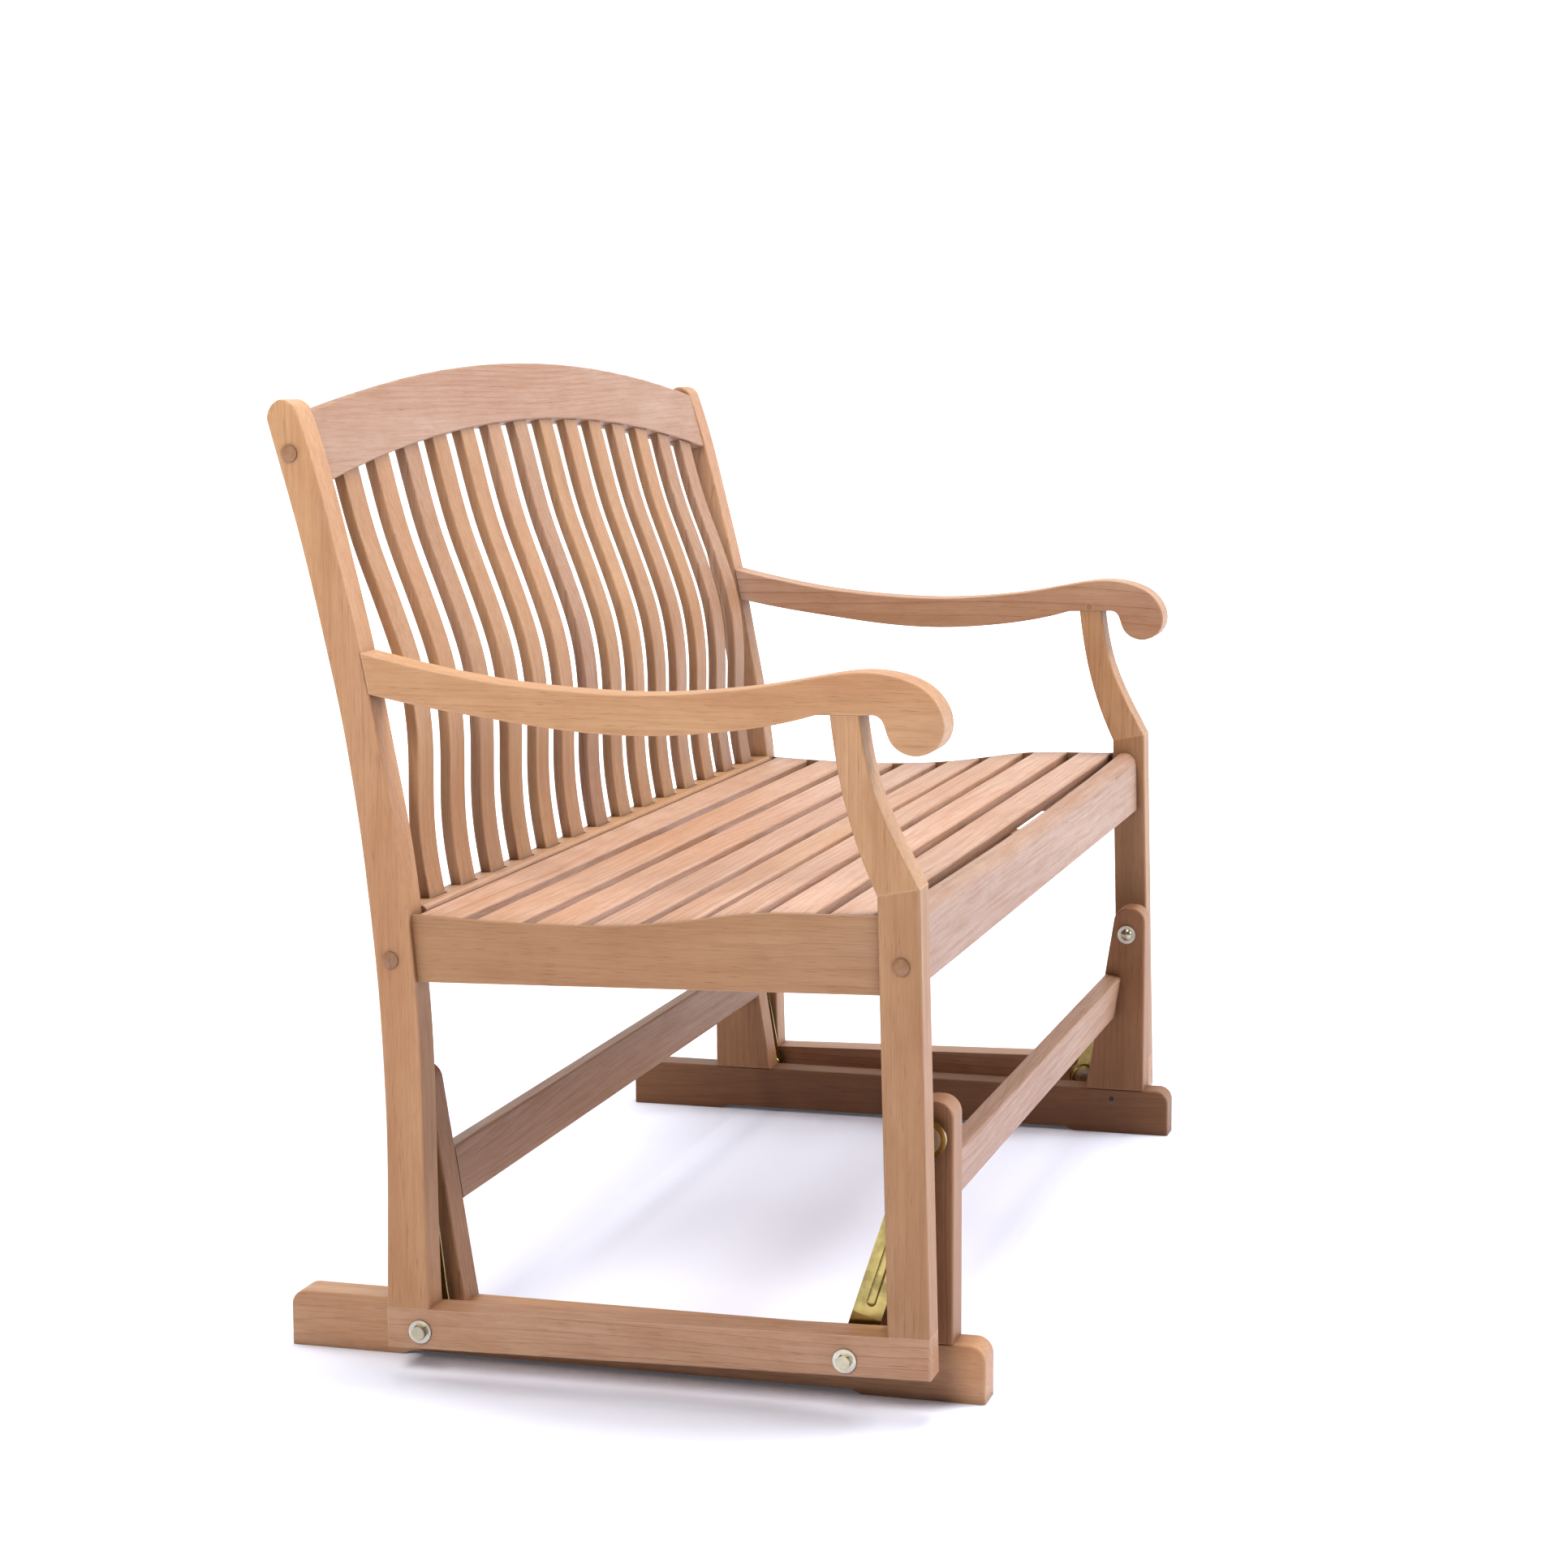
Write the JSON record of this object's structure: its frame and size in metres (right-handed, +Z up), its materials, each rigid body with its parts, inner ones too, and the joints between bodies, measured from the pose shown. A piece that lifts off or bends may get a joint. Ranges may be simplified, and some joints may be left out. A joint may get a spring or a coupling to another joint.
{
  "type": "glider bench",
  "caption": "Slatted teak two-seat bench with scrolled arms, hung from a low timber ground base on four stamped steel hanger arms so that the seat glides back and forth.",
  "frame": {"origin": "on the ground, in the middle of the two runners, at the centre of the whole bench's length and depth", "axes": "+Z up, +X along the seat to the right-hand end as seen from the front, -Y towards the front, where a sitter faces"},
  "size_m": [1.2146, 0.6844, 0.9383],
  "materials": {
    "teak": "oiled, satin",
    "plug_teak": "oiled end grain, satin",
    "dark_plug": "matte",
    "zinc_steel": "yellow zinc plated, satin",
    "bearing_steel": "ground, satin",
    "washer_steel": "satin",
    "bolt_steel": "satin"
  },
  "bodies": {
    "base": {"front_post_left": "teak", "front_post_right": "teak", "front_stretcher": "teak", "rear_post_left": "teak", "rear_post_right": "teak", "rear_stretcher": "teak", "runner_left": "teak", "runner_plugs": "dark_plug", "runner_right": "teak", "upper_pivot_bolts": "bolt_steel", "upper_pivot_washers": "washer_steel"},
    "bench": {"arm_support_left": "teak", "arm_support_right": "teak", "armrest_left": "teak", "armrest_right": "teak", "back_slat_01": "teak", "back_slat_02": "teak", "back_slat_03": "teak", "back_slat_04": "teak", "back_slat_05": "teak", "back_slat_06": "teak", "back_slat_07": "teak", "back_slat_08": "teak", "back_slat_09": "teak", "back_slat_10": "teak", "back_slat_11": "teak", "back_slat_12": "teak", "back_slat_13": "teak", "back_slat_14": "teak", "front_apron": "teak", "front_leg_left": "teak", "front_leg_right": "teak", "lower_pivot_bolts": "bolt_steel", "lower_pivot_washers": "washer_steel", "lower_rail_left": "teak", "lower_rail_right": "teak", "rear_leg_left": "teak", "rear_leg_right": "teak", "rear_seat_rail": "teak", "seat_centre_support": "teak", "seat_slat_1": "teak", "seat_slat_2": "teak", "seat_slat_3": "teak", "seat_slat_4": "teak", "seat_slat_5": "teak", "seat_slat_6": "teak", "seat_slat_7": "teak", "seat_slat_8": "teak", "side_apron_left": "teak", "side_apron_right": "teak", "top_rail": "teak", "wood_plugs": "plug_teak"},
    "hanger_arm_front_left": {"bearings_front_left": "bearing_steel", "hanger_front_left": "zinc_steel"},
    "hanger_arm_front_right": {"bearings_front_right": "bearing_steel", "hanger_front_right": "zinc_steel"},
    "hanger_arm_rear_left": {"bearings_rear_left": "bearing_steel", "hanger_rear_left": "zinc_steel"},
    "hanger_arm_rear_right": {"bearings_rear_right": "bearing_steel", "hanger_rear_right": "zinc_steel"}
  },
  "joints": [
    {"name": "glide", "type": "hinge", "parent": "base", "child": "hanger_arm_front_left", "pos_m": [-0.5436, -0.28995, 0.247], "axis": [1, 0, 0], "range_deg": [-14, 6]},
    {"name": "front_right_hanger_swing", "type": "hinge", "parent": "base", "child": "hanger_arm_front_right", "pos_m": [0.5436, -0.28995, 0.247], "axis": [1, 0, 0], "range_deg": [-14.05, 6.05]},
    {"name": "rear_left_hanger_swing", "type": "hinge", "parent": "base", "child": "hanger_arm_rear_left", "pos_m": [-0.5436, 0.21085, 0.247], "axis": [1, 0, 0], "range_deg": [-13.99, 6.02]},
    {"name": "rear_right_hanger_swing", "type": "hinge", "parent": "base", "child": "hanger_arm_rear_right", "pos_m": [0.5436, 0.21085, 0.247], "axis": [1, 0, 0], "range_deg": [-13.99, 6.02]},
    {"name": "bench_hang", "type": "hinge", "parent": "hanger_arm_front_left", "child": "bench", "pos_m": [-0.5526, -0.22857, 0.0535], "axis": [1, 0, 0], "range_deg": [-7.39, 17.17]}
  ],
  "couplings": [
    {"joint": "front_right_hanger_swing", "follows": "glide", "ratio": 1},
    {"joint": "rear_left_hanger_swing", "follows": "glide", "ratio": 0.99568},
    {"joint": "rear_right_hanger_swing", "follows": "glide", "ratio": 0.99568},
    {"joint": "bench_hang", "follows": "glide", "ratio": -1.2231}
  ]
}
